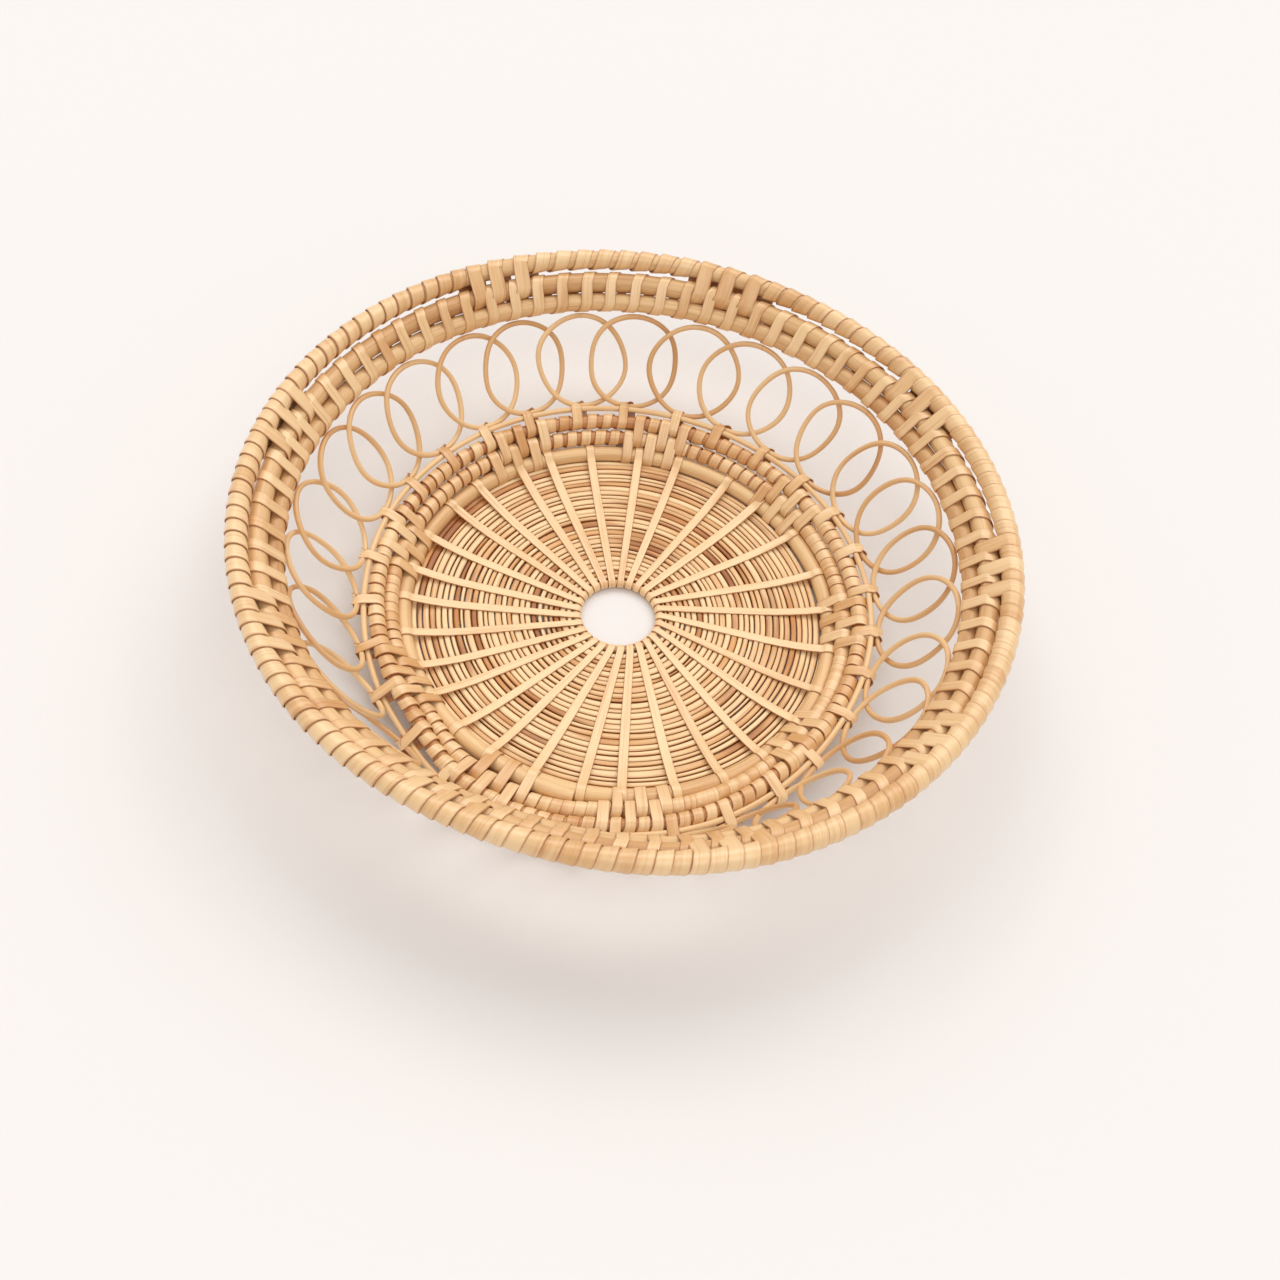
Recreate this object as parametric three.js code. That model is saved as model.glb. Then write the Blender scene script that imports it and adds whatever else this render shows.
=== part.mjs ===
// Round openwork basket of rattan: a lashed coil floor, a stepped border of rods,
// a wall of overlapping reed loops and a heavy rim of three hoops.
// Millimetres, +Z up, origin on the axis at the height of the surface it stands on.
import * as THREE from 'three';

// Driving dimensions
const rimRadius = 136; // centre line of the outer hoop
const wallLean = 44.1; // degrees from the horizontal, in the rim
const stripThickness = 0.6;
const clearance = 0.33; // between pieces that touch
const hoopSteps = 56;
const baseSteps = 36;

// Floor
const holeRadius = 13.7;
const reedThickness = 2.4; // floor rows
const rowCount = 6;
const rowGap = 0.4;
const spokeCount = 29;
const spokeWidth = 2.4;
const lashingParts = 8;

// Border of the floor, from the inside out
const borderLean = 41.6; // degrees from the horizontal
const borderRadius = 80.4; // centre line of the innermost rod
const borderRod = 2.9; // radius
const wrappedCore = 2.0; // radius of a rod under its wrapping
const borderSteps = { middle: 7.37, outer: 13.67, reed: 18.05 }; // along the lean
const reedRadius = 1.1;

// Wall
const loopCount = 30;
const loopTurn = -1; // degrees, where the first loop stands
const loopReed = 1.05;
const loopTilt = 7.4; // degrees, each loop laps over the next one
const loopSides = 4;
const loopSteps = 14;

// Rim, distances down the lean from the outer hoop
const outerHoop = { core: 3.07, wrapped: 4.0 };
const middleHoop = { radius: 3.4, down: 8.95 };
const innerHoop = { radius: 3.0, down: 16.35 };
const bindingTurns = 72;
const bindingWidth = 3.4;

const degrees = Math.PI / 180;
const group = new THREE.Group();

const finishes = {
  rod: { color: 0xc99a66, roughness: 0.5 },
  cane: { color: 0xe3bd86, roughness: 0.45 },
  reed: { color: 0xd9ab72, roughness: 0.5 },
  floor: { color: 0xcf9c5f, roughness: 0.55 },
};

function addNode(name, geometry, finish) {
  const material = new THREE.MeshStandardMaterial({ ...finishes[finish], metalness: 0 });
  const mesh = new THREE.Mesh(geometry, material);
  mesh.name = name;
  group.add(mesh);
  return mesh;
}

// A section drawn as [radius, height] points, turned once round the vertical axis.
function ring(section, steps) {
  const points = [...section, section[0]].map(([r, z]) => new THREE.Vector2(r, z));
  const geometry = new THREE.LatheGeometry(points, steps);
  geometry.rotateX(Math.PI / 2);
  return geometry;
}

function roundSection([r, z], radius, sides, turn = 0) {
  return Array.from({ length: sides }, (_, i) => {
    const angle = turn + (i / sides) * 2 * Math.PI;
    return [r + radius * Math.cos(angle), z + radius * Math.sin(angle)];
  });
}

// A tube wall open along one facet, where the turns of a real wrapping leave their gap.
function sleeveSection(centre, inner, outer, sides, turn) {
  const outside = roundSection(centre, outer, sides, turn);
  const inside = roundSection(centre, inner, sides, turn);
  return [...outside, ...inside.reverse()];
}

// A flat strip through stations of { r, z, outR, outZ, angle }: the face next to the work,
// the face away from it, and where it stands round the axis.
function strip(stations, width) {
  const corners = stations.flatMap(({ r, z, outR, outZ, angle }) => {
    const [c, s] = [Math.cos(angle), Math.sin(angle)];
    const corner = (radius, height, side) => [radius * c - side * s, radius * s + side * c, height];
    const half = width / 2;
    return [corner(r, z, -half), corner(r, z, half), corner(outR, outZ, half), corner(outR, outZ, -half)];
  });
  const faces = [];
  const quad = (a, b, c, d) => faces.push(a, c, b, a, d, c);
  for (let i = 0; i + 1 < stations.length; i += 1) {
    for (let k = 0; k < 4; k += 1) {
      const next = (k + 1) % 4;
      quad(4 * i + k, 4 * i + next, 4 * i + 4 + next, 4 * i + 4 + k);
    }
  }
  const last = 4 * (stations.length - 1);
  quad(3, 2, 1, 0);
  quad(last, last + 1, last + 2, last + 3);
  const geometry = new THREE.BufferGeometry();
  geometry.setAttribute('position', new THREE.Float32BufferAttribute(corners.flat(), 3));
  geometry.setIndex(faces);
  return geometry;
}

// The corner of a strip where it bends round a rod, as one station without its angle.
function bendAround([r, z], inner, direction, halfBend) {
  const reach = (apothem) => apothem / Math.cos(halfBend * degrees);
  const [c, s] = [Math.cos(direction * degrees), Math.sin(direction * degrees)];
  const near = reach(inner);
  const far = reach(inner + stripThickness);
  return { r: r + near * c, z: z + near * s, outR: r + far * c, outZ: z + far * s };
}

// Border rods
const borderHeight = borderRod + clearance + stripThickness;
const alongBorder = (distance) => [
  borderRadius + distance * Math.cos(borderLean * degrees),
  borderHeight + distance * Math.sin(borderLean * degrees),
];
const borderAt = {
  inner: alongBorder(0),
  middle: alongBorder(borderSteps.middle),
  outer: alongBorder(borderSteps.outer),
  reed: alongBorder(borderSteps.reed),
};
const octagonTurn = Math.PI / 8;
const sleeveInner = wrappedCore + clearance + 0.05;
const openFacet = -60 * degrees; // the wrappings open towards the table

addNode('border_inner_rod', ring(roundSection(borderAt.inner, borderRod, 8, octagonTurn), baseSteps), 'rod');
for (const place of ['middle', 'outer']) {
  const core = roundSection(borderAt[place], wrappedCore, 6, openFacet);
  const wrap = sleeveSection(borderAt[place], sleeveInner, borderRod, 6, openFacet);
  addNode(`border_${place}_rod`, ring(core, baseSteps), 'rod');
  addNode(`border_${place}_wrapping`, ring(wrap, baseSteps), 'cane');
}
addNode('border_outer_reed', ring(roundSection(borderAt.reed, reedRadius, 4), baseSteps), 'reed');

// Floor rows and the ring round the hole
const floorBottom = stripThickness + 0.3;
const floorTop = floorBottom + reedThickness;
const hubInner = holeRadius + stripThickness + 0.3;
const hubOuter = hubInner + 2.6;
const rowsOuter = borderRadius - borderRod - 0.3;
const rowPitch = (rowsOuter - hubOuter) / rowCount;

function flatRing(innerRadius, outerRadius) {
  return [
    [innerRadius, floorBottom],
    [outerRadius, floorBottom],
    [outerRadius, floorTop],
    [innerRadius, floorTop],
  ];
}

addNode('hub_ring', ring(flatRing(hubInner, hubOuter), baseSteps), 'reed');
for (let row = 0; row < rowCount; row += 1) {
  const start = hubOuter + row * rowPitch + rowGap;
  const end = hubOuter + (row + 1) * rowPitch - (row === rowCount - 1 ? rowGap : 0);
  addNode(`floor_coil_${row + 1}`, ring(flatRing(start, end), baseSteps), 'floor');
}

// Floor lashing: round the innermost border rod, over the rows, through the hole and back below
const spokePitch = (2 * Math.PI) / spokeCount;
const bendRadius = borderRod + clearance;
const topFace = floorTop + 0.3;
const spokeCourse = [
  bendAround(borderAt.inner, bendRadius, -60, 30),
  bendAround(borderAt.inner, bendRadius, 0, 30),
  bendAround(borderAt.inner, bendRadius, 60, 30),
  bendAround(borderAt.inner, bendRadius, 120, 30),
  { r: borderRadius - 4.9, z: topFace, outR: borderRadius - 5.2, outZ: topFace + stripThickness },
  { r: holeRadius + stripThickness, z: topFace, outR: holeRadius, outZ: topFace + stripThickness },
  { r: holeRadius + stripThickness, z: stripThickness, outR: holeRadius, outZ: 0 },
];
const lashingEnd = { r: borderRadius, z: stripThickness, outR: borderRadius, outZ: 0 };

for (let part = 0; part < lashingParts; part += 1) {
  const firstSpoke = Math.round((part * spokeCount) / lashingParts);
  const nextPart = Math.round(((part + 1) * spokeCount) / lashingParts);
  const stations = [];
  for (let spoke = firstSpoke; spoke < nextPart; spoke += 1) {
    stations.push(...spokeCourse.map((station) => ({ ...station, angle: spoke * spokePitch })));
  }
  stations.push({ ...lashingEnd, angle: nextPart * spokePitch });
  addNode(`floor_lashing_${part + 1}`, strip(stations, spokeWidth), 'cane');
}

// Rim hoops
const rimDirection = [Math.cos(wallLean * degrees), Math.sin(wallLean * degrees)];
const rimHeight = borderAt.reed[1] + 41.0;
const downRim = (down, aside = 0) => [
  rimRadius - down * rimDirection[0] - aside * rimDirection[1],
  rimHeight - down * rimDirection[1] + aside * rimDirection[0],
];
const rimTurn = wallLean * degrees + Math.PI / 6;
const rimSleeveTurn = -60 * degrees;

addNode('rim_outer_hoop', ring(roundSection(downRim(0), outerHoop.core, 6, rimSleeveTurn), hoopSteps), 'rod');
addNode(
  'rim_outer_wrapping',
  ring(sleeveSection(downRim(0), outerHoop.core + clearance + 0.05, outerHoop.wrapped, 6, rimSleeveTurn), hoopSteps),
  'cane',
);
addNode('rim_middle_hoop', ring(roundSection(downRim(middleHoop.down), middleHoop.radius, 6, rimTurn), hoopSteps), 'rod');
addNode('rim_inner_hoop', ring(roundSection(downRim(innerHoop.down), innerHoop.radius, 6, rimTurn), hoopSteps), 'rod');

// Binding: one strip wound round the middle and inner hoops together
const bindingTop = middleHoop.down - middleHoop.radius - clearance;
const bindingBottom = innerHoop.down + innerHoop.radius + clearance;
const topHalf = middleHoop.radius + clearance;
const bottomHalf = innerHoop.radius + clearance;

function bindingCorner(down, aside, downOut, asideOut) {
  const [r, z] = downRim(down, aside);
  const [outR, outZ] = downRim(downOut, asideOut);
  return { r, z, outR, outZ };
}

const t = stripThickness;
const bindingCourse = [
  bindingCorner(bindingTop, topHalf, bindingTop - t, topHalf + t),
  bindingCorner(bindingBottom, bottomHalf, bindingBottom + t, bottomHalf + t),
  bindingCorner(bindingBottom, -bottomHalf, bindingBottom + t, -bottomHalf - t),
  bindingCorner(bindingTop, -topHalf, bindingTop - t, -topHalf - t),
];
const bindingStations = [];
const bindingEnd = 4 * bindingTurns - 1; // the two ends stay apart
for (let i = 0; i < bindingEnd; i += 1) {
  bindingStations.push({ ...bindingCourse[i % 4], angle: (i / 4 / bindingTurns) * 2 * Math.PI });
}
addNode('rim_binding', strip(bindingStations, bindingWidth), 'cane');

// Wall loops, between the binding and the outer reed of the border
const loopHead = downRim(bindingBottom + t + 0.35 + loopReed);
const loopFoot = [borderAt.reed[0] + 2.46, borderAt.reed[1] - 0.54];
const loopRise = loopHead[1] - loopFoot[1];
const loopRun = loopHead[0] - loopFoot[0];
const loopRadius = Math.hypot(loopRise, loopRun) / 2;
const loopLean = Math.atan2(loopRise, loopRun);

for (let loop = 0; loop < loopCount; loop += 1) {
  const hoop = addNode(
    `wall_loop_${String(loop + 1).padStart(2, '0')}`,
    new THREE.TorusGeometry(loopRadius, loopReed, loopSides, loopSteps),
    'reed',
  );
  // built in its own plane, tilted about its upright diameter, leant outwards, then carried round
  const carry = new THREE.Matrix4().makeRotationZ((loopTurn + (loop * 360) / loopCount) * degrees);
  const out = new THREE.Matrix4().makeTranslation((loopHead[0] + loopFoot[0]) / 2, 0, (loopHead[1] + loopFoot[1]) / 2);
  const lean = new THREE.Matrix4().makeRotationY(-loopLean);
  const tilt = new THREE.Matrix4().makeRotationX(loopTilt * degrees);
  hoop.applyMatrix4(carry.multiply(out).multiply(lean).multiply(tilt));
}

export default group;
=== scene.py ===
import math

import bpy
import numpy as np
from mathutils import Matrix, Vector


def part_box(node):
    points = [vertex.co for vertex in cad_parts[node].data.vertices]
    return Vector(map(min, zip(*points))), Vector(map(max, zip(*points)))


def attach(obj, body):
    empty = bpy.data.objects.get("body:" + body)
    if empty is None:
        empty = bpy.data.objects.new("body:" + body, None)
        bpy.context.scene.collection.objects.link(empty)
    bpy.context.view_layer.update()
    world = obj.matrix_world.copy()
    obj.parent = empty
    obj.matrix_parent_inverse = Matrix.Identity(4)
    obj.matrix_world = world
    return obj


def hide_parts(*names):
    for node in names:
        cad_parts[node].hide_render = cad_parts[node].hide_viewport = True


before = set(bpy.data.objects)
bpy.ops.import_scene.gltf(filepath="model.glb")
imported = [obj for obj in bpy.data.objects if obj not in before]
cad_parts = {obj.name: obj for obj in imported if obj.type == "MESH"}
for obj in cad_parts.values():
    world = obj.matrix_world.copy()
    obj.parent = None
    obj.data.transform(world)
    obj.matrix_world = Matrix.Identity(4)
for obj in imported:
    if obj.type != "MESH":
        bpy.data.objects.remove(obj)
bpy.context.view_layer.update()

mm = 0.001
fullTurn = 2 * math.pi
chance = np.random.default_rng(11)
print("frame loaded:", len(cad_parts), "nodes")

# the camera comes first, so that everything else is judged through it
view = {
    "lens": 47.8,
    "sensor": 36.0,
    "clip": (0.01, 20),
    "distance": 629 * mm,
    "elevation": 53.6,  # degrees above the table
    "roll": 9.4,  # degrees
    "across": 9.6 * mm,  # where it aims, off the basket's middle
    "lift": -17.1 * mm,
    "aimHeight": 18 * mm,
}


def makeCamera():
    data = bpy.data.cameras.new("camera")
    data.lens, data.sensor_width = view["lens"], view["sensor"]
    data.clip_start, data.clip_end = view["clip"]
    camera = bpy.data.objects.new("camera", data)
    bpy.context.collection.objects.link(camera)
    tilt, roll = math.radians(view["elevation"]), math.radians(view["roll"])
    forward = Vector((0, math.cos(tilt), -math.sin(tilt)))
    level = Vector((1, 0, 0))
    rise = level.cross(forward)
    right = math.cos(roll) * level + math.sin(roll) * rise
    up = -math.sin(roll) * level + math.cos(roll) * rise
    turned = Matrix((right, up, -forward)).transposed().to_4x4()
    aim = Vector((0, 0, view["aimHeight"])) + view["across"] * level + view["lift"] * rise
    camera.matrix_world = Matrix.Translation(aim - view["distance"] * forward) @ turned
    bpy.context.scene.camera = camera
    print("camera placed")


makeCamera()


class Wire:
    # a value on its way between shader nodes; arithmetic on it adds Math nodes
    def __init__(self, shader, socket):
        self.shader, self.socket = shader, socket

    def math(self, operation, *others):
        values = {i: v for i, v in enumerate((self, *others))}
        return self.shader.node("ShaderNodeMath", {"operation": operation}, values)

    def flipped(self, operation, first):
        return self.shader.node("ShaderNodeMath", {"operation": operation}, {0: first, 1: self})

    def __add__(self, other):
        return self.math("ADD", other)

    def __radd__(self, other):
        return self.flipped("ADD", other)

    def __sub__(self, other):
        return self.math("SUBTRACT", other)

    def __rsub__(self, other):
        return self.flipped("SUBTRACT", other)

    def __mul__(self, other):
        return self.math("MULTIPLY", other)

    def __rmul__(self, other):
        return self.flipped("MULTIPLY", other)


class Shader:
    def __init__(self, name):
        self.material = bpy.data.materials.new(name)
        self.material.use_nodes = True
        self.tree = self.material.node_tree
        self.tree.nodes.clear()

    def node(self, kind, settings, values, out=0):
        # a node of any kind: its settings first, then the values or wires of its sockets
        made = self.tree.nodes.new(kind)
        for key, value in settings.items():
            setattr(made, key, value)
        for key, value in values.items():
            if isinstance(value, Wire):
                self.tree.links.new(value.socket, made.inputs[key])
            else:
                made.inputs[key].default_value = value
        return Wire(self, made.outputs[out]) if made.outputs else None

    def ramp(self, factor, low, high):
        # a mask that rises from 0 at low to 1 at high
        limits = {0: factor, 1: low, 2: high}
        return self.node("ShaderNodeMapRange", {"interpolation_type": "SMOOTHSTEP"}, limits)

    def blend(self, factor, first, second):
        colours = {0: factor, 6: first, 7: second}
        return self.node("ShaderNodeMix", {"data_type": "RGBA"}, colours, out=2)

    def deepen(self, factor, colour, tint):
        # multiplies the colour by the tint where the factor is high
        colours = {0: factor, 6: colour, 7: tint}
        return self.node("ShaderNodeMix", {"data_type": "RGBA", "blend_type": "MULTIPLY"}, colours, out=2)

    def noise(self, vector, stretch, detail, roughness):
        scaled = self.node("ShaderNodeVectorMath", {"operation": "MULTIPLY"}, {0: vector, 1: stretch})
        return self.node("ShaderNodeTexNoise", {}, {
            "Vector": scaled, "Scale": 1.0, "Detail": detail, "Roughness": roughness})


def srgb(red, green, blue):
    # a colour picked, from 0 to 255, as Blender's sockets want it
    def linear(value):
        value /= 255
        return value / 12.92 if value <= 0.04045 else ((value + 0.055) / 1.055) ** 2.4
    return (linear(red), linear(green), linear(blue), 1)


# every finish is one peeled or split stem of rattan, so they share one recipe
# edge: how strongly painted shade darkens the sides of a strip or row
finishes = {
    "peeledRod": {"pale": srgb(236, 198, 145), "honey": srgb(208, 156, 100), "stain": srgb(158, 94, 44),
                  "stains": 0.35, "streak": 0.35, "rough": 0.42, "coat": 0.25, "bump": 0.3, "edge": 0.0},
    "caneStrip": {"pale": srgb(243, 207, 157), "honey": srgb(218, 165, 104), "stain": srgb(186, 112, 48),
                  "stains": 0.35, "streak": 0.34, "rough": 0.3, "coat": 0.55, "bump": 0.22, "edge": 0.6},
    "roundReed": {"pale": srgb(240, 202, 150), "honey": srgb(218, 168, 112), "stain": srgb(170, 108, 56),
                  "stains": 0.30, "streak": 0.25, "rough": 0.42, "coat": 0.25, "bump": 0.2, "edge": 0.0},
    "floorReed": {"pale": srgb(246, 215, 166), "honey": srgb(216, 152, 82), "stain": srgb(142, 72, 22),
                  "stains": 0.8, "streak": 0.55, "rough": 0.42, "coat": 0.3, "bump": 0.4, "edge": 0.9},
    "wrappedRod": {"pale": srgb(206, 144, 84), "honey": srgb(178, 108, 52), "stain": srgb(132, 70, 28),
                   "stains": 0.5, "streak": 0.35, "rough": 0.3, "coat": 0.5, "bump": 0.2, "edge": 0.0},
}


lineTint = srgb(198, 132, 70)  # what the dark fibres multiply the colour by
paintedShadeTint = srgb(178, 106, 48)  # and the painted shade along the sides of a strip or row, where it meets the next
fibreDepth = 0.4 * mm


def rattan(name):
    look = finishes[name]
    shader = Shader(name)
    # metres along the stem, and across it both ways; a tint for each turn; 0 to 1 from middle to edge
    grain = shader.node("ShaderNodeAttribute", {"attribute_name": "grain"}, {}, out=1)
    tint = shader.node("ShaderNodeAttribute", {"attribute_name": "tint"}, {}, out=2)
    across = shader.node("ShaderNodeAttribute", {"attribute_name": "across"}, {}, out=2)
    # noise drawn out along the stem, from fine fibres to broad patches
    fibres = shader.noise(grain, (40, 2600, 2600), 3.0, 0.65)
    streaks = shader.noise(grain, (18, 900, 900), 2.0, 0.6)
    cloud = shader.noise(grain, (45, 300, 300), 3.0, 0.6)
    patch = shader.noise(grain, (20, 110, 110), 3.0, 0.6)
    warm = shader.ramp(cloud * 0.5 + streaks * 0.3 + tint * 0.7, 0.45, 1.1)
    colour = shader.blend(warm, look["pale"], look["honey"])
    stained = shader.ramp(patch * 0.8 + tint * 0.35, 0.58, 0.84) * look["stains"]
    colour = shader.blend(stained, colour, look["stain"])
    lines = shader.ramp(fibres * 0.6 + streaks * 0.4, 0.5, 0.68) * look["streak"]
    colour = shader.deepen(lines, colour, lineTint)
    # painted shade: the sides of each strip and floor row are darkened, in place of the shade where they meet
    if look["edge"]:
        paintedEdgeShade = shader.ramp(across, 0.8, 1.0) * look["edge"]
        colour = shader.deepen(paintedEdgeShade, colour, paintedShadeTint)
    rough = fibres * 0.2 + cloud * 0.12 + (look["rough"] - 0.14)
    height = fibres * 0.7 + streaks * 0.5 + cloud * 0.2
    bump = shader.node("ShaderNodeBump", {}, {
        "Strength": look["bump"], "Distance": fibreDepth, "Height": height})
    surface = shader.node("ShaderNodeBsdfPrincipled", {}, {
        "Base Color": colour, "Roughness": rough, "Normal": bump,
        "Coat Weight": look["coat"], "Coat Roughness": 0.2, "Specular IOR Level": 0.45})
    shader.node("ShaderNodeOutputMaterial", {}, {0: surface})
    return shader.material


materials = {name: rattan(name) for name in finishes}
print("finishes ready:", ", ".join(finishes))


# everything in a basket is a rod, a reed or a strip that follows a course, so all of it is swept
def roundStock(sides):
    angles = np.arange(sides) / sides * fullTurn
    return np.stack([np.cos(angles), np.sin(angles)], 1)


# a split cane strip, one wide and one high: flat back, round shoulders, low crown
caneStock = np.array([(-0.49, 0.0), (-0.5, 0.5), (-0.46, 0.84), (-0.3, 0.96), (0.0, 1.0),
                      (0.3, 0.96), (0.46, 0.84), (0.5, 0.5), (0.49, 0.0)])[::-1]


sharpFrom = 38  # degrees: only the corners of strips and cut ends stay sharp


def flatStock(sides):
    # split reed: an oblong with soft corners
    angles = np.arange(sides) / sides * fullTurn
    x, y = np.cos(angles), np.sin(angles)
    return np.stack([np.sign(x) * np.abs(x) ** 0.55, np.sign(y) * np.abs(y) ** 0.7], 1)


def unit(vectors):
    return vectors / np.linalg.norm(vectors, axis=-1, keepdims=True)


def headings(path, closed):
    # which way the course runs at each of its points
    if closed:
        return unit(np.roll(path, -1, 0) - np.roll(path, 1, 0))
    return unit(np.gradient(path, axis=0))


class Stock:
    # collects swept lengths, then makes them one mesh
    def __init__(self):
        self.points, self.faces, self.grain, self.tint, self.across = [], [], [], [], []
        self.count = 0

    def sweep(self, path, outward, section, width, height, closed=False, tint=0.5, lean=0.0):
        # width and height may change along the course; lean lifts one edge, in radians
        along = headings(path, closed)
        side = unit(np.cross(along, outward))
        lift = unit(np.cross(side, along))
        if lean:
            side, lift = (side * math.cos(lean) + lift * math.sin(lean),
                          lift * math.cos(lean) - side * math.sin(lean))
        steps, corners = len(path), len(section)
        width = np.broadcast_to(width, steps)
        height = np.broadcast_to(height, steps)
        x = section[None, :, 0] * width[:, None]
        y = section[None, :, 1] * height[:, None]
        points = path[:, None] + x[..., None] * side[:, None] + y[..., None] * lift[:, None]
        lengths = np.r_[0, np.cumsum(np.linalg.norm(np.diff(path, axis=0), axis=1))]
        offset = chance.uniform(0, 5)
        grain = np.stack([np.repeat(lengths[:, None] + offset, corners, 1), x + offset, y], -1)
        first = self.count
        ring = np.arange(corners)
        rows = np.arange(steps if closed else steps - 1)
        a = first + rows[:, None] * corners + ring
        b = first + rows[:, None] * corners + (ring + 1) % corners
        ahead = (rows + 1) % steps
        c = first + ahead[:, None] * corners + (ring + 1) % corners
        d = first + ahead[:, None] * corners + ring
        self.faces += np.stack([a, b, c, d], -1).reshape(-1, 4).tolist()
        if not closed:
            self.faces.append((first + ring[::-1]).tolist())
            self.faces.append((first + (steps - 1) * corners + ring).tolist())
        self.points.append(points.reshape(-1, 3))
        self.grain.append(grain.reshape(-1, 3))
        self.tint.append(np.repeat(np.broadcast_to(tint, steps), corners))
        self.across.append(np.tile(np.abs(section[:, 0]) / np.abs(section[:, 0]).max(), steps))
        self.count += steps * corners

    def make(self, name, finish, *nodes):
        mesh = bpy.data.meshes.new(name)
        mesh.from_pydata(np.concatenate(self.points).tolist(), [], self.faces)
        mesh.polygons.foreach_set("use_smooth", [True] * len(mesh.polygons))
        mesh.set_sharp_from_angle(angle=math.radians(sharpFrom))
        grain = mesh.attributes.new("grain", "FLOAT_VECTOR", "POINT")
        grain.data.foreach_set("vector", np.concatenate(self.grain).astype(np.float32).ravel())
        for key, values in (("tint", self.tint), ("across", self.across)):
            layer = mesh.attributes.new(key, "FLOAT", "POINT")
            layer.data.foreach_set("value", np.concatenate(values).astype(np.float32))
        mesh.materials.append(materials[finish])
        piece = bpy.data.objects.new(name, mesh)
        bpy.context.collection.objects.link(piece)
        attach(piece, "root")
        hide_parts(*nodes)
        print(f"{name}: {len(mesh.polygons)} faces")


def wander(steps, waves, size):
    # a slow closed wobble, for stems that were never quite straight
    t = np.arange(steps) / steps * fullTurn
    made = np.zeros(steps)
    for wave in waves:
        made += np.sin(wave * t + chance.uniform(0, fullTurn)) / wave
    return made * size / max(1e-9, np.abs(made).max())


def around(r, angle, z):
    # points at these radii, angles and heights
    return np.stack([r * np.cos(angle), r * np.sin(angle), z], 1)


def outFrom(angle):
    # level, straight out from the basket's axis
    return np.stack([np.cos(angle), np.sin(angle), 0 * angle], 1)


def ringOf(node, inset):
    # centre line of a ring that lies this far inside its node's outer edge: (radius, height)
    low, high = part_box(node)
    return high.x - inset, (low.z + high.z) / 2


def swell(angle, middle, half, power=4):
    # 1 at the middle angle, falling away over about half degrees on both sides
    away = (np.degrees(angle) - middle + 180) % 360 - 180
    return np.exp(-np.abs(away / half) ** power)


def still(angle):
    # the drift of a ring that stays round: nothing outwards, nothing upwards
    return 0 * angle, 0 * angle


def rodRing(name, finish, node, centre, radius, steps=320, sides=16, wobble=0.12 * mm, tint=0.5, drift=still):
    # a rod bent into a closed ring
    angle = np.arange(steps) / steps * fullTurn
    outwards, upwards = drift(angle)
    r = centre[0] + wander(steps, (2, 3, 5), wobble) + outwards
    z = centre[1] + wander(steps, (2, 4, 5), wobble) + upwards
    thickness = radius * (1 + wander(steps, (3, 7, 11), 0.03))
    stock = Stock()
    stock.sweep(around(r, angle, z), outFrom(angle), roundStock(sides), thickness, thickness, closed=True,
                tint=tint + wander(steps, (2, 5, 9), 0.3))
    stock.make(name, finish, node)


def support(circles, facing, at):
    # where a strip pulled tight round these (centre, radius, drift) circles touches, for each facing
    n = np.stack([np.cos(facing), np.sin(facing)], -1)
    places = []
    for (r, z), radius, drift in circles:
        outwards, upwards = drift(at)
        places.append(np.stack([r + outwards + radius * n[:, 0], z + upwards + radius * n[:, 1]], -1))
    places = np.stack(places)
    chosen = (places * n).sum(-1).argmax(0)
    return places[chosen, np.arange(len(facing))].T


def winding(turns, start, slant=0.5, samples=24):
    # turns: (angle round the basket, circles that the turn goes round); the last one only ends it
    share = np.arange(samples) / samples
    facing = start + share * fullTurn
    front = np.clip((share - 0.25) * 2, 0, 1)
    advance = front * slant + (np.clip(share * 4, 0, 1) + np.clip((share - 0.75) * 4, 0, 1)) * (1 - slant) / 2
    path, outward, owner = [], [], []
    for k, (angle, circles) in enumerate(turns[:-1]):
        at = angle + (turns[k + 1][0] - angle) * advance
        r, z = support(circles, facing, at)
        path.append(around(r, at, z))
        outward.append(around(np.cos(facing), at, np.sin(facing)))
        owner.append(np.full(samples, k))
    return np.concatenate(path), np.concatenate(outward), np.concatenate(owner)


def perTurn(owner, spread):
    # one random value for each turn, eased from turn to turn
    values = chance.uniform(-spread, spread, owner.max() + 2)
    starts = np.flatnonzero(np.r_[True, np.diff(owner) > 0])
    return np.interp(np.arange(len(owner)), starts, values[:owner.max() + 1])


rim = {
    "outerCore": 3.35 * mm,  # radii of the three rods
    "middleRod": 3.75 * mm,
    "innerRod": 3.5 * mm,
    "outerInset": 3.07 * mm,  # how far each rod's centre line lies inside its node's outer edge
    "middleInset": 3.3 * mm,
    "innerInset": 2.91 * mm,
    "strip": 0.5 * mm,
    "dent": (-3.0 * mm, 258, 25),  # how far the rim is pressed in, where, over how many degrees
    "wrapWidth": 5.9 * mm,
    "wrapPitch": 2.45,  # degrees
    "wide": (0.45, 98, 42),  # the turns open out by this share, here, over so many degrees
    "wrapLean": 6.0,  # degrees: each turn lies on the edge of the one before
    "wrapStart": -60,  # degrees round the rod, where one turn passes into the next
    "bindingTurns": 80,
    "bindingWidth": 4.3 * mm,
    "bindingStart": -46,
    "bindingStray": 0.004,  # radians that a turn may stand out of its place
    "stitchGroups": (0, 37, 78, 118, 168, 208, 248, 288, 325),  # degrees round the rim
}
pull = 0.05 * mm  # strips lie this far off the rods they are pulled round
rimOuter = ringOf("rim_outer_hoop", rim["outerInset"])
rimMiddle = ringOf("rim_middle_hoop", rim["middleInset"])
rimInner = ringOf("rim_inner_hoop", rim["innerInset"])
bindingPitch = fullTurn / rim["bindingTurns"]


def dented(angle):
    # the drift of the whole rim where it has been pressed in
    depth, middle, half = rim["dent"]
    return depth * swell(angle, middle, half, 2), 0 * angle


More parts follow.
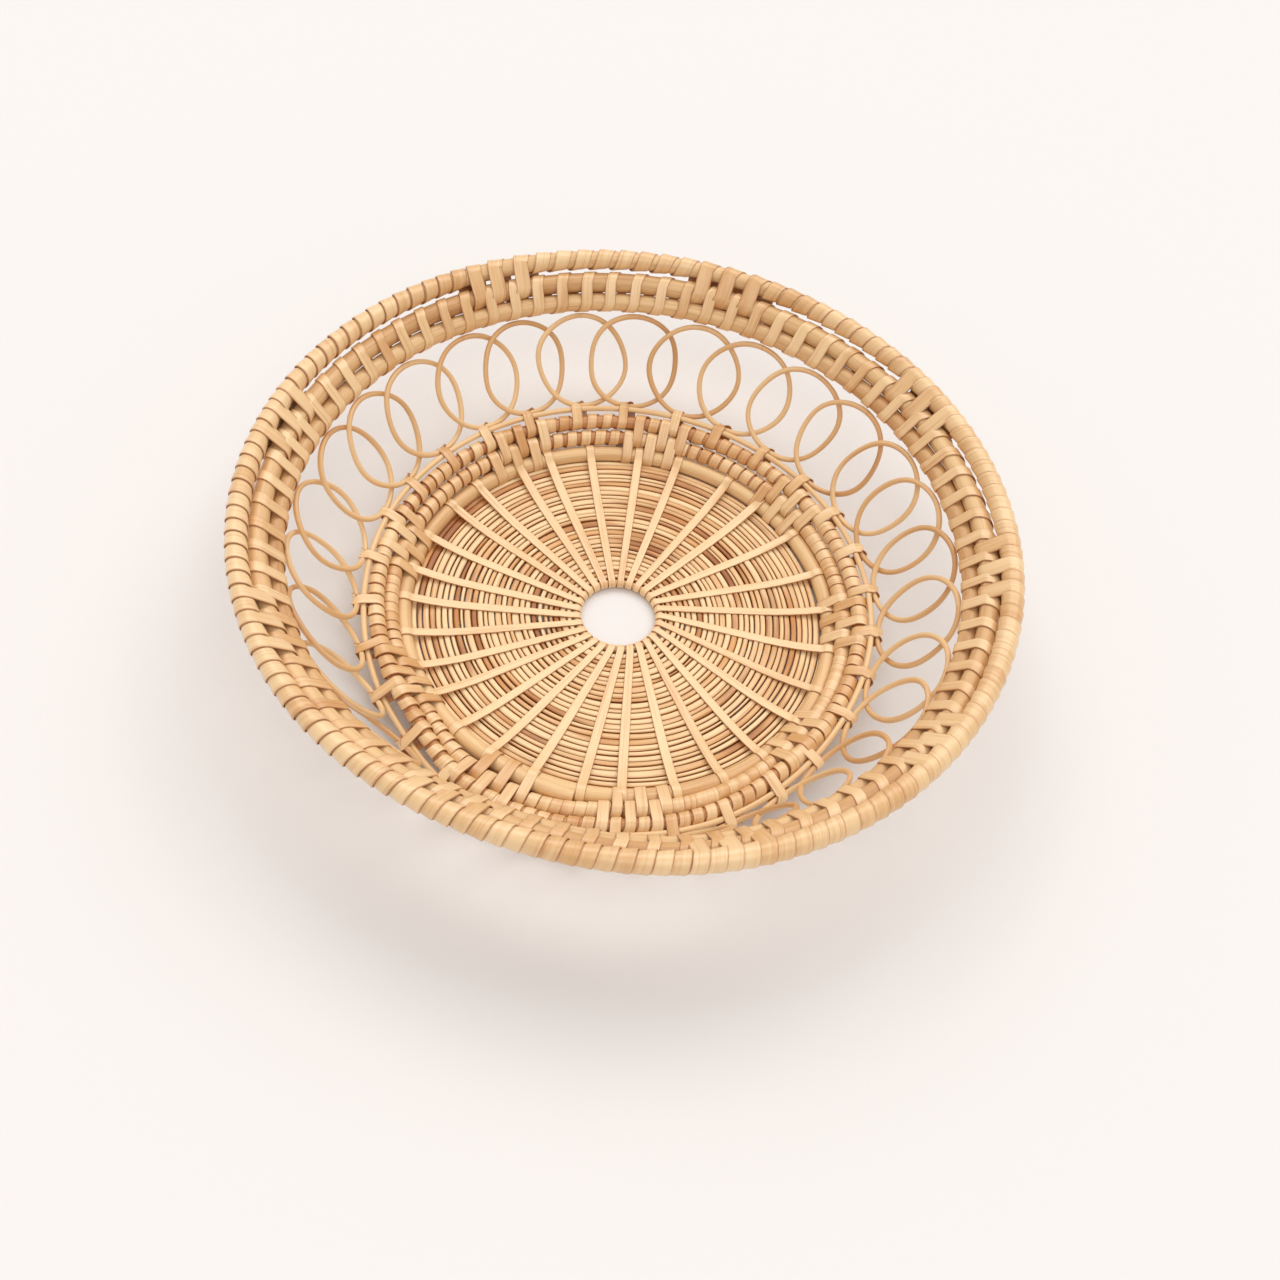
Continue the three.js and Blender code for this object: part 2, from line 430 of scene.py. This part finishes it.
def makeRim():
    rodRing("rimOuterHoop", "peeledRod", "rim_outer_hoop", rimOuter, rim["outerCore"],
            tint=0.15, drift=dented)
    rodRing("rimMiddleHoop", "peeledRod", "rim_middle_hoop", rimMiddle, rim["middleRod"], drift=dented)
    rodRing("rimInnerHoop", "peeledRod", "rim_inner_hoop", rimInner, rim["innerRod"], drift=dented)

    # the binding turns stand bindingPitch apart, and the long stitches go up between them
    both = [(rimMiddle, rim["middleRod"] + pull, dented), (rimInner, rim["innerRod"] + pull, dented)]
    count, stray = rim["bindingTurns"] + 1, rim["bindingStray"]
    places = np.arange(count) * bindingPitch + chance.uniform(-stray, stray, count)
    turns = [(place, both) for place in places]
    path, outward, owner = winding(turns, math.radians(rim["bindingStart"]), slant=0.4, samples=30)
    stock = Stock()
    stock.sweep(path, outward, caneStock, rim["bindingWidth"] * (1 + perTurn(owner, 0.12)), rim["strip"],
                tint=0.4 + perTurn(owner, 0.4))
    stock.make("rimBinding", "caneStrip", "rim_binding")

    alone = [(rimOuter, rim["outerCore"] + pull, dented)]
    pair = [alone[0], both[0]]
    stitches = []
    for group in rim["stitchGroups"]:
        slot = round(math.radians(group) / bindingPitch)
        stitches += [(slot + k + 0.5) * bindingPitch for k in (-1, 0, 1)]
    extra, middle, half = rim["wide"]
    turns = fillTurns(stitches, math.radians(rim["wrapPitch"]), alone, pair,
                      lambda angle: 1 + extra * swell(angle, middle, half, 2))
    path, outward, owner = winding(turns, math.radians(rim["wrapStart"]), slant=0.45, samples=26)
    stock = Stock()
    stock.sweep(path, outward, caneStock, rim["wrapWidth"] * (1 + perTurn(owner, 0.07)), rim["strip"],
                tint=0.4 + perTurn(owner, 0.35), lean=math.radians(rim["wrapLean"]))
    stock.make("rimOuterWrapping", "caneStrip", "rim_outer_wrapping")


def fillTurns(stitches, pitch, plain, long, wider):
    # long turns at the stitches, and plain ones between them at about the pitch
    stitches = sorted(s % fullTurn for s in stitches)
    turns = []
    for here, there in zip(stitches, stitches[1:] + [stitches[0] + fullTurn]):
        turns.append((here, long))
        between = max(1, round((there - here) / (pitch * wider((here + there) / 2)))) - 1
        for k in range(between):
            jitter = chance.uniform(-0.06, 0.06) * pitch
            turns.append((here + (there - here) * (k + 1) / (between + 1) + jitter, plain))
    turns.append((stitches[0] + fullTurn - 0.4 * pitch, plain))
    return turns


makeRim()


# the wall's loops are set out here, because the border's ties go round their feet
loops = {
    "count": 30,
    "reed": 1.05 * mm,  # radius
    "turn": -1,  # degrees: where the first one stands
    "inset": 0.78 * mm,  # from the node's box in to the reed's centre line
    "tilt": 7.4,  # degrees, so that each laps over the next
    "stray": 1.2,  # degrees
    "uneven": 0.03,  # share by which a loop's width differs
    "sway": 0.5 * mm,  # how far a loop is off a true oval
    "steps": 96,
    "sides": 10,
}
loopLow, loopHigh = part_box("wall_loop_01")
loopHead = (loopHigh.x - loops["inset"], loopHigh.z - loops["inset"])
loopFoot = (loopLow.x + loops["inset"], loopLow.z + loops["inset"])
loopPlaces = [math.radians(loops["turn"]) + k * fullTurn / loops["count"] for k in range(loops["count"])]

border = {
    "innerRod": 3.15 * mm,  # radii of the rods and of the reed
    "core": 2.55 * mm,
    "reed": 1.1 * mm,
    "innerInset": 2.68 * mm,  # how far each centre line lies inside its node's outer edge
    "middleInset": 2.4 * mm,
    "outerInset": 2.0 * mm,
    "reedInset": 1.1 * mm,
    "strip": 0.5 * mm,
    "wrapWidth": 4.2 * mm,
    "wrapPitch": 2.8,  # degrees
    "wrapStart": -44,  # degrees round the rod
    "wrapLean": 3.0,  # degrees
    "wide": (0.35, 112, 45),  # the turns open out by this share, here, over so many degrees
    "stitchGroups": (3, 44, 85, 124, 169, 212, 246, 279, 324),
    "stitchStep": 5.8,  # degrees between the long stitches of a group
    "tieShift": 0.6,  # degrees that a tie stands beside its loop
    "lap": (255, 24),  # where the innermost rod's ends lap, and how far, in degrees
    "flat": (272, 42),  # here the border lies flatter than elsewhere
    "loopFlat": (262, 62),  # and so do the feet of the loops
    "pushed": (251, 20),  # here the lap pushes the other rods out
    "push": (2.6 * mm, -1.0 * mm),  # by this much outwards and upwards
}
borderInner = ringOf("border_inner_rod", border["innerInset"])
borderMiddle = ringOf("border_middle_rod", border["middleInset"])
borderOuter = ringOf("border_outer_rod", border["outerInset"])
borderReed = ringOf("border_outer_reed", border["reedInset"])


def settled(outwards, upwards, place, snug):
    # drift of one border ring: laid flatter by this much, pushed out beside the lap, drawn snug elsewhere
    def drift(angle):
        flat, pushed = swell(angle, *border[place]), swell(angle, *border["pushed"])
        drawn = snug * (1 - flat)
        out, up = border["push"]
        return outwards * flat + out * pushed - drawn, upwards * flat + up * pushed - drawn
    return drift


middleDrift = settled(1.0 * mm, -3.4 * mm, "flat", snug=0.4 * mm)
outerDrift = settled(2.6 * mm, -6.4 * mm, "flat", snug=0.5 * mm)
reedDrift = settled(3.3 * mm, -8.8 * mm, "loopFlat", snug=0.0)


def makeBorder():
    rodRing("borderOuterRod", "wrappedRod", "border_outer_rod", borderOuter, border["core"], 240, 12,
            drift=outerDrift)
    rodRing("borderMiddleRod", "wrappedRod", "border_middle_rod", borderMiddle, border["core"], 240, 12,
            drift=middleDrift)
    rodRing("borderOuterReed", "roundReed", "border_outer_reed", borderReed, border["reed"], 240, 10,
            tint=0.2, drift=reedDrift)
    makeInnerRod()

    pitch, step = math.radians(border["wrapPitch"]), math.radians(border["stitchStep"])
    extra, far, half = border["wide"]

    def wider(angle):
        return 1 + extra * swell(angle, far, half, 2)

    core, over = border["core"] + pull, border["core"] + border["strip"]
    outer = [(borderOuter, core, outerDrift)]
    middle = [(borderMiddle, core, middleDrift)]
    outerAndMiddle = [(borderOuter, over, outerDrift), (borderMiddle, over, middleDrift)]
    middleAndInner = [(borderMiddle, over, middleDrift), (borderInner, border["innerRod"] + pull, still)]
    tie = [outer[0], (borderReed, border["reed"] + pull, reedDrift),
           (loopFoot, loops["reed"] + pull, reedDrift)]

    # outer wrapping: long stitches to the middle rod, and one tie at the foot of each loop
    long = [math.radians(g) + k * step for g in border["stitchGroups"] for k in (-1, 0, 1)]
    ties = [place + math.radians(border["tieShift"]) for place in loopPlaces]
    marks = sorted([(a % fullTurn, outerAndMiddle) for a in long] + [(a % fullTurn, tie) for a in ties],
                   key=lambda mark: mark[0])
    turns = []
    for (here, circles), (there, _) in zip(marks, marks[1:] + [(marks[0][0] + fullTurn, None)]):
        turns.append((here, circles))
        between = max(0, round((there - here) / (pitch * wider(here))) - 1)
        turns += [(here + (there - here) * (k + 1) / (between + 1), outer) for k in range(between)]
    turns.append((marks[0][0] + fullTurn - 0.3 * pitch, outer))
    wrapBorder("borderOuterWrapping", turns, "border_outer_wrapping")

    # middle wrapping: its long stitches reach the inner rod, half a step on from the outer ones
    turns = fillTurns([a + step / 2 for a in long], pitch, middle, middleAndInner, wider)
    wrapBorder("borderMiddleWrapping", turns, "border_middle_wrapping")


def wrapBorder(name, turns, node):
    path, outward, owner = winding(turns, math.radians(border["wrapStart"]), slant=0.2, samples=26)
    stock = Stock()
    stock.sweep(path, outward, caneStock, border["wrapWidth"] * (1 + perTurn(owner, 0.12)), border["strip"],
                tint=0.45 + perTurn(owner, 0.45), lean=math.radians(border["wrapLean"]))
    stock.make(name, "caneStrip", node)


def makeInnerRod():
    # one rod whose two ends lap side by side, each pared down over the lap
    middle, length = (math.radians(v) for v in border["lap"])
    steps = 380
    angle = np.linspace(middle - length / 2, middle + length / 2 + fullTurn, steps)
    first = np.clip((angle - angle[0]) / length, 0, 1)
    last = np.clip((angle[-1] - angle) / length, 0, 1)
    pared = 1 - 0.45 * (1 - first) - 0.25 * (1 - last) ** 6  # share of the full radius
    rise = (1 - first) * -0.3 + (1 - last) * 0.9  # millimetres: one end goes under the other
    shift = (1 - first) * -2.0 + (1 - last) * 2.6  # millimetres: and they part sideways
    r = borderInner[0] + shift * mm + wander(steps, (2, 3, 5), 0.2 * mm)
    z = borderInner[1] + rise * mm
    radius = border["innerRod"] * pared
    stock = Stock()
    stock.sweep(around(r, angle, z), outFrom(angle), roundStock(16), radius, radius,
                tint=0.2 + wander(steps, (2, 5, 9), 0.4))
    stock.make("borderInnerRod", "peeledRod", "border_inner_rod")


makeBorder()


def makeLoops():
    t = np.arange(loops["steps"]) / loops["steps"] * fullTurn
    reach = math.dist(loopHead, loopFoot) / 2
    for k, place in enumerate(loopPlaces):
        angle = place + math.radians(loops["stray"]) * chance.uniform(-1, 1)
        head = np.array(loopHead) + dented(angle)
        foot = np.array(loopFoot) + reedDrift(angle)
        run, rise = head - foot
        radius, lean = math.hypot(rise, run) / 2, math.atan2(rise, run)
        centre = Vector(((head[0] + foot[0]) / 2, 0, (head[1] + foot[1]) / 2))
        wide = reach * (1 + loops["uneven"] * chance.uniform(-1, 1)
                        + loops["uneven"] * np.sin(2 * t + chance.uniform(0, fullTurn)))
        sway = loops["sway"] * np.sin(3 * t + chance.uniform(0, fullTurn)) * np.sin(t) ** 2
        local = np.stack([radius * np.cos(t), wide * np.sin(t) + sway, 0 * t], 1)
        carry = Matrix.Rotation(angle, 3, "Z")
        tilt = Matrix.Rotation(math.radians(loops["tilt"]), 3, "X")
        turned = np.array(carry @ Matrix.Rotation(-lean, 3, "Y") @ tilt)
        path = local @ turned.T + np.array(carry @ centre)
        outward = np.broadcast_to(turned[:, 2], path.shape)
        thickness = loops["reed"] * (1 + 0.05 * np.sin(3 * t + chance.uniform(0, fullTurn)))
        stock = Stock()
        stock.sweep(path, outward, roundStock(loops["sides"]), thickness, thickness, closed=True,
                    tint=chance.uniform(0.3, 0.7) + 0.2 * np.sin(t + chance.uniform(0, fullTurn)))
        stock.make(f"wallLoop{k + 1:02d}", "roundReed", f"wall_loop_{k + 1:02d}")


makeLoops()


floor = {
    "rows": 27,
    "knots": 9,  # places in each turn of the coil where its width may change
    "steps": 180,  # points in each turn
    "wander": 0.5 * mm,  # how far a row's edge strays
    "lift": 0.3 * mm,  # how far a row rises or sinks
    "rowHeight": 2.3 * mm,
    "leastWidth": 0.8 * mm,
    "gap": (0.12 * mm, 0.75 * mm),  # the least gap between rows, and what chance may add
    "spokes": 29,
    "spokeWidth": 3.4 * mm,
    "hubWidth": 2.7 * mm,
    "widens": (20 * mm, 30 * mm),  # from this radius on, over this length
    "strip": 0.55 * mm,
    "skew": 8.0,  # degrees between a spoke's outer end and the place where it enters the eye
    "uneven": 0.10,  # radians that the spokes crowd together on one side
    "stray": 0.028,
    "eyeInset": 2.6 * mm,  # from the outside of the ring round the eye
    "ease": 24 * mm,  # over this length a spoke comes down from the border to the rows
}
hubLow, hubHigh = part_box("hub_ring")
rowsLow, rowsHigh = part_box("floor_coil_6")


def makeCoil():
    # one coil of split reed whose edges wander, so that its width never stays the same
    inner, outer = hubHigh.x + 0.3 * mm, rowsHigh.x + 0.9 * mm
    rows, knots, stray = floor["rows"], floor["knots"], floor["wander"] / mm
    edge = inner + (outer - inner) * np.linspace(0, (rows + 1) / rows, (rows + 1) * knots + 1)
    edge[knots:-knots] += chance.uniform(-stray, stray, len(edge) - 2 * knots) * mm
    edge -= 0.5 * (outer - inner) / rows
    t = np.linspace(0, rows, floor["steps"] * rows)
    turn = np.arange(len(edge)) / knots
    near, far = (smoothly(t + k, turn, edge).clip(inner, outer) for k in (0, 1))
    least, more = floor["gap"]
    gap = least + more * smoothly(t, turn, chance.uniform(0, 1, len(turn)) ** 3)
    r, width = (near + far) / 2, np.maximum(far - near - gap, floor["leastWidth"])
    angle = t * fullTurn
    z = (rowsLow.z + rowsHigh.z) / 2 + floor["lift"] * smoothly(t, turn, chance.uniform(-1, 1, len(turn)))
    tint = smoothly(t * 2.3, turn * 2.3, np.clip(chance.normal(0.34, 0.32, len(turn)), -0.1, 1.1))
    upward = np.tile((0.0, 0.0, 1.0), (len(t), 1))
    stock = Stock()
    stock.sweep(around(r, angle, z), upward, flatStock(14), width / 2, floor["rowHeight"] / 2, tint=tint)
    nodes = [f"floor_coil_{k}" for k in range(1, 7)]
    stock.make("floorCoil", "floorReed", *nodes)


def smoothly(t, knots, values):
    # cosine steps between the values at the knots
    place = np.clip(np.searchsorted(knots, t, "right") - 1, 0, len(knots) - 2)
    share = (t - knots[place]) / (knots[place + 1] - knots[place])
    share = (1 - np.cos(np.clip(share, 0, 1) * math.pi)) / 2
    return values[place] + (values[place + 1] - values[place]) * share


def makeHub():
    # the small ring that the spokes turn round at the eye
    half = (hubHigh.z - hubLow.z) / 2
    centre = ringOf("hub_ring", half + 0.1 * mm)
    rodRing("hubRing", "roundReed", "hub_ring", centre, half, steps=96, sides=12, wobble=0.05 * mm)


def arc(centre, radius, start, end, count):
    # (radius, height, facing) round a rod, between two facings in degrees
    facing = np.radians(np.linspace(start, end, count))
    return [(centre[0] + radius * math.cos(f), centre[1] + radius * math.sin(f), f) for f in facing]


def makeLashing():
    # one strip: over the floor, down through the eye, back beneath and round the border's inner rod
    half, clear, lap = (hubHigh.z - hubLow.z) / 2, 0.1 * mm, 0.12 * mm
    middle = (hubHigh.z + hubLow.z) / 2
    eye = (hubHigh.x - floor["eyeInset"] + half, middle)
    rod = border["innerRod"] + lap
    top = middle + floor["rowHeight"] / 2 + clear
    bottom = borderInner[1] - border["innerRod"] - clear
    even = fullTurn / floor["spokes"]
    places = np.arange(floor["spokes"] + 1) * even
    places = places + floor["uneven"] * np.sin(places - math.radians(20))
    places[1:-1] += chance.uniform(-floor["stray"], floor["stray"], floor["spokes"] - 1)
    hubPlaces = np.arange(floor["spokes"] + 1) * even + math.radians(floor["skew"])
    path, outward, owner = [], [], []

    def put(r, z, facing, at, spoke):
        path.append((r * math.cos(at), r * math.sin(at), z))
        n = math.cos(facing)
        outward.append((n * math.cos(at), n * math.sin(at), math.sin(facing)))
        owner.append(spoke)

    def run(first, last, heights, facing, spoke, count):
        # straight across the floor between two (r, angle) places
        a = np.array([first[0] * math.cos(first[1]), first[0] * math.sin(first[1])])
        b = np.array([last[0] * math.cos(last[1]), last[0] * math.sin(last[1])])
        for share in np.linspace(0, 1, count + 2)[1:-1]:
            p = a + (b - a) * share
            r, at = math.hypot(*p), math.atan2(p[1], p[0])
            put(r, heights(r), facing, at, spoke)

    for spoke in range(floor["spokes"]):
        at, hub = places[spoke], hubPlaces[spoke]
        for r, z, f in arc(borderInner, rod, -90, 140, 16):
            put(r, z, f, at, spoke)
        lastR, lastZ, _ = arc(borderInner, rod, 140, 140, 1)[0]
        drop = lastZ - top

        def heights(r):
            fall = min(1.0, (lastR - r) / floor["ease"])
            return top + drop * (1 - fall) ** 2.2 + 0.08 * mm * math.sin(r / mm * 1.1 + spoke)

        run((lastR, at), (eye[0] + 0.6 * mm, hub), heights, math.pi / 2, spoke, 30)
        for r, z, f in arc(eye, half + lap, 90, 270, 9):
            put(r, z, f, hub, spoke)
        run((eye[0], hub), (borderInner[0], places[spoke + 1]), lambda r: bottom, -math.pi / 2, spoke, 12)
    path, outward, owner = np.array(path), np.array(outward), np.array(owner)
    start, length = floor["widens"]
    share = np.clip((np.hypot(path[:, 0], path[:, 1]) - start) / length, 0, 1)
    width = floor["hubWidth"] + (floor["spokeWidth"] - floor["hubWidth"]) * share
    stock = Stock()
    stock.sweep(path, outward, caneStock, width * (1 + perTurn(owner, 0.08)), floor["strip"],
                tint=0.2 + perTurn(owner, 0.2))
    nodes = [f"floor_lashing_{k}" for k in range(1, 9)]
    stock.make("floorLashing", "caneStrip", *nodes)


makeCoil()
makeHub()
makeLashing()


studio = {
    "table": (0.825, 0.805, 0.8, 1),  # matt and off-white
    "tableRoughness": 0.9,
    "halfTable": 3.0,  # metres
    "skyColour": (1.0, 0.985, 0.965, 1),
    "sky": 0.66,
    "lightColour": (1.0, 0.97, 0.93),
    "spread": 40,  # degrees: large soft sources
    # strength, and degrees of tilt and turn
    "lights": {"left": (0.75, -30, -22), "right": (0.75, -30, 22), "front": (0.5, 30, 10)},
}


def makeTable():
    shader = Shader("tableTop")
    surface = shader.node("ShaderNodeBsdfPrincipled", {}, {
        "Base Color": studio["table"], "Roughness": studio["tableRoughness"]})
    shader.node("ShaderNodeOutputMaterial", {}, {0: surface})
    mesh = bpy.data.meshes.new("tableTop")
    half = studio["halfTable"]
    corners = [(-half, -half, 0), (half, -half, 0), (half, half, 0), (-half, half, 0)]
    mesh.from_pydata(corners, [], [(0, 1, 2, 3)])
    mesh.materials.append(shader.material)
    table = bpy.data.objects.new("tableTop", mesh)
    bpy.context.collection.objects.link(table)


def makeLight():
    world = bpy.data.worlds.new("studio")
    bpy.context.scene.world = world
    world.use_nodes = True
    sky = world.node_tree.nodes["Background"]
    sky.inputs["Color"].default_value = studio["skyColour"]
    sky.inputs["Strength"].default_value = studio["sky"]
    for name, (strength, tilt, turn) in studio["lights"].items():
        sun = bpy.data.lights.new(name, "SUN")
        sun.energy, sun.angle = strength, math.radians(studio["spread"])
        sun.color = studio["lightColour"]
        lamp = bpy.data.objects.new(name, sun)
        lamp.rotation_euler = (math.radians(tilt), math.radians(turn), 0)
        bpy.context.collection.objects.link(lamp)
    bpy.context.scene.view_settings.view_transform = "Standard"


makeTable()
makeLight()
print("table and light ready")
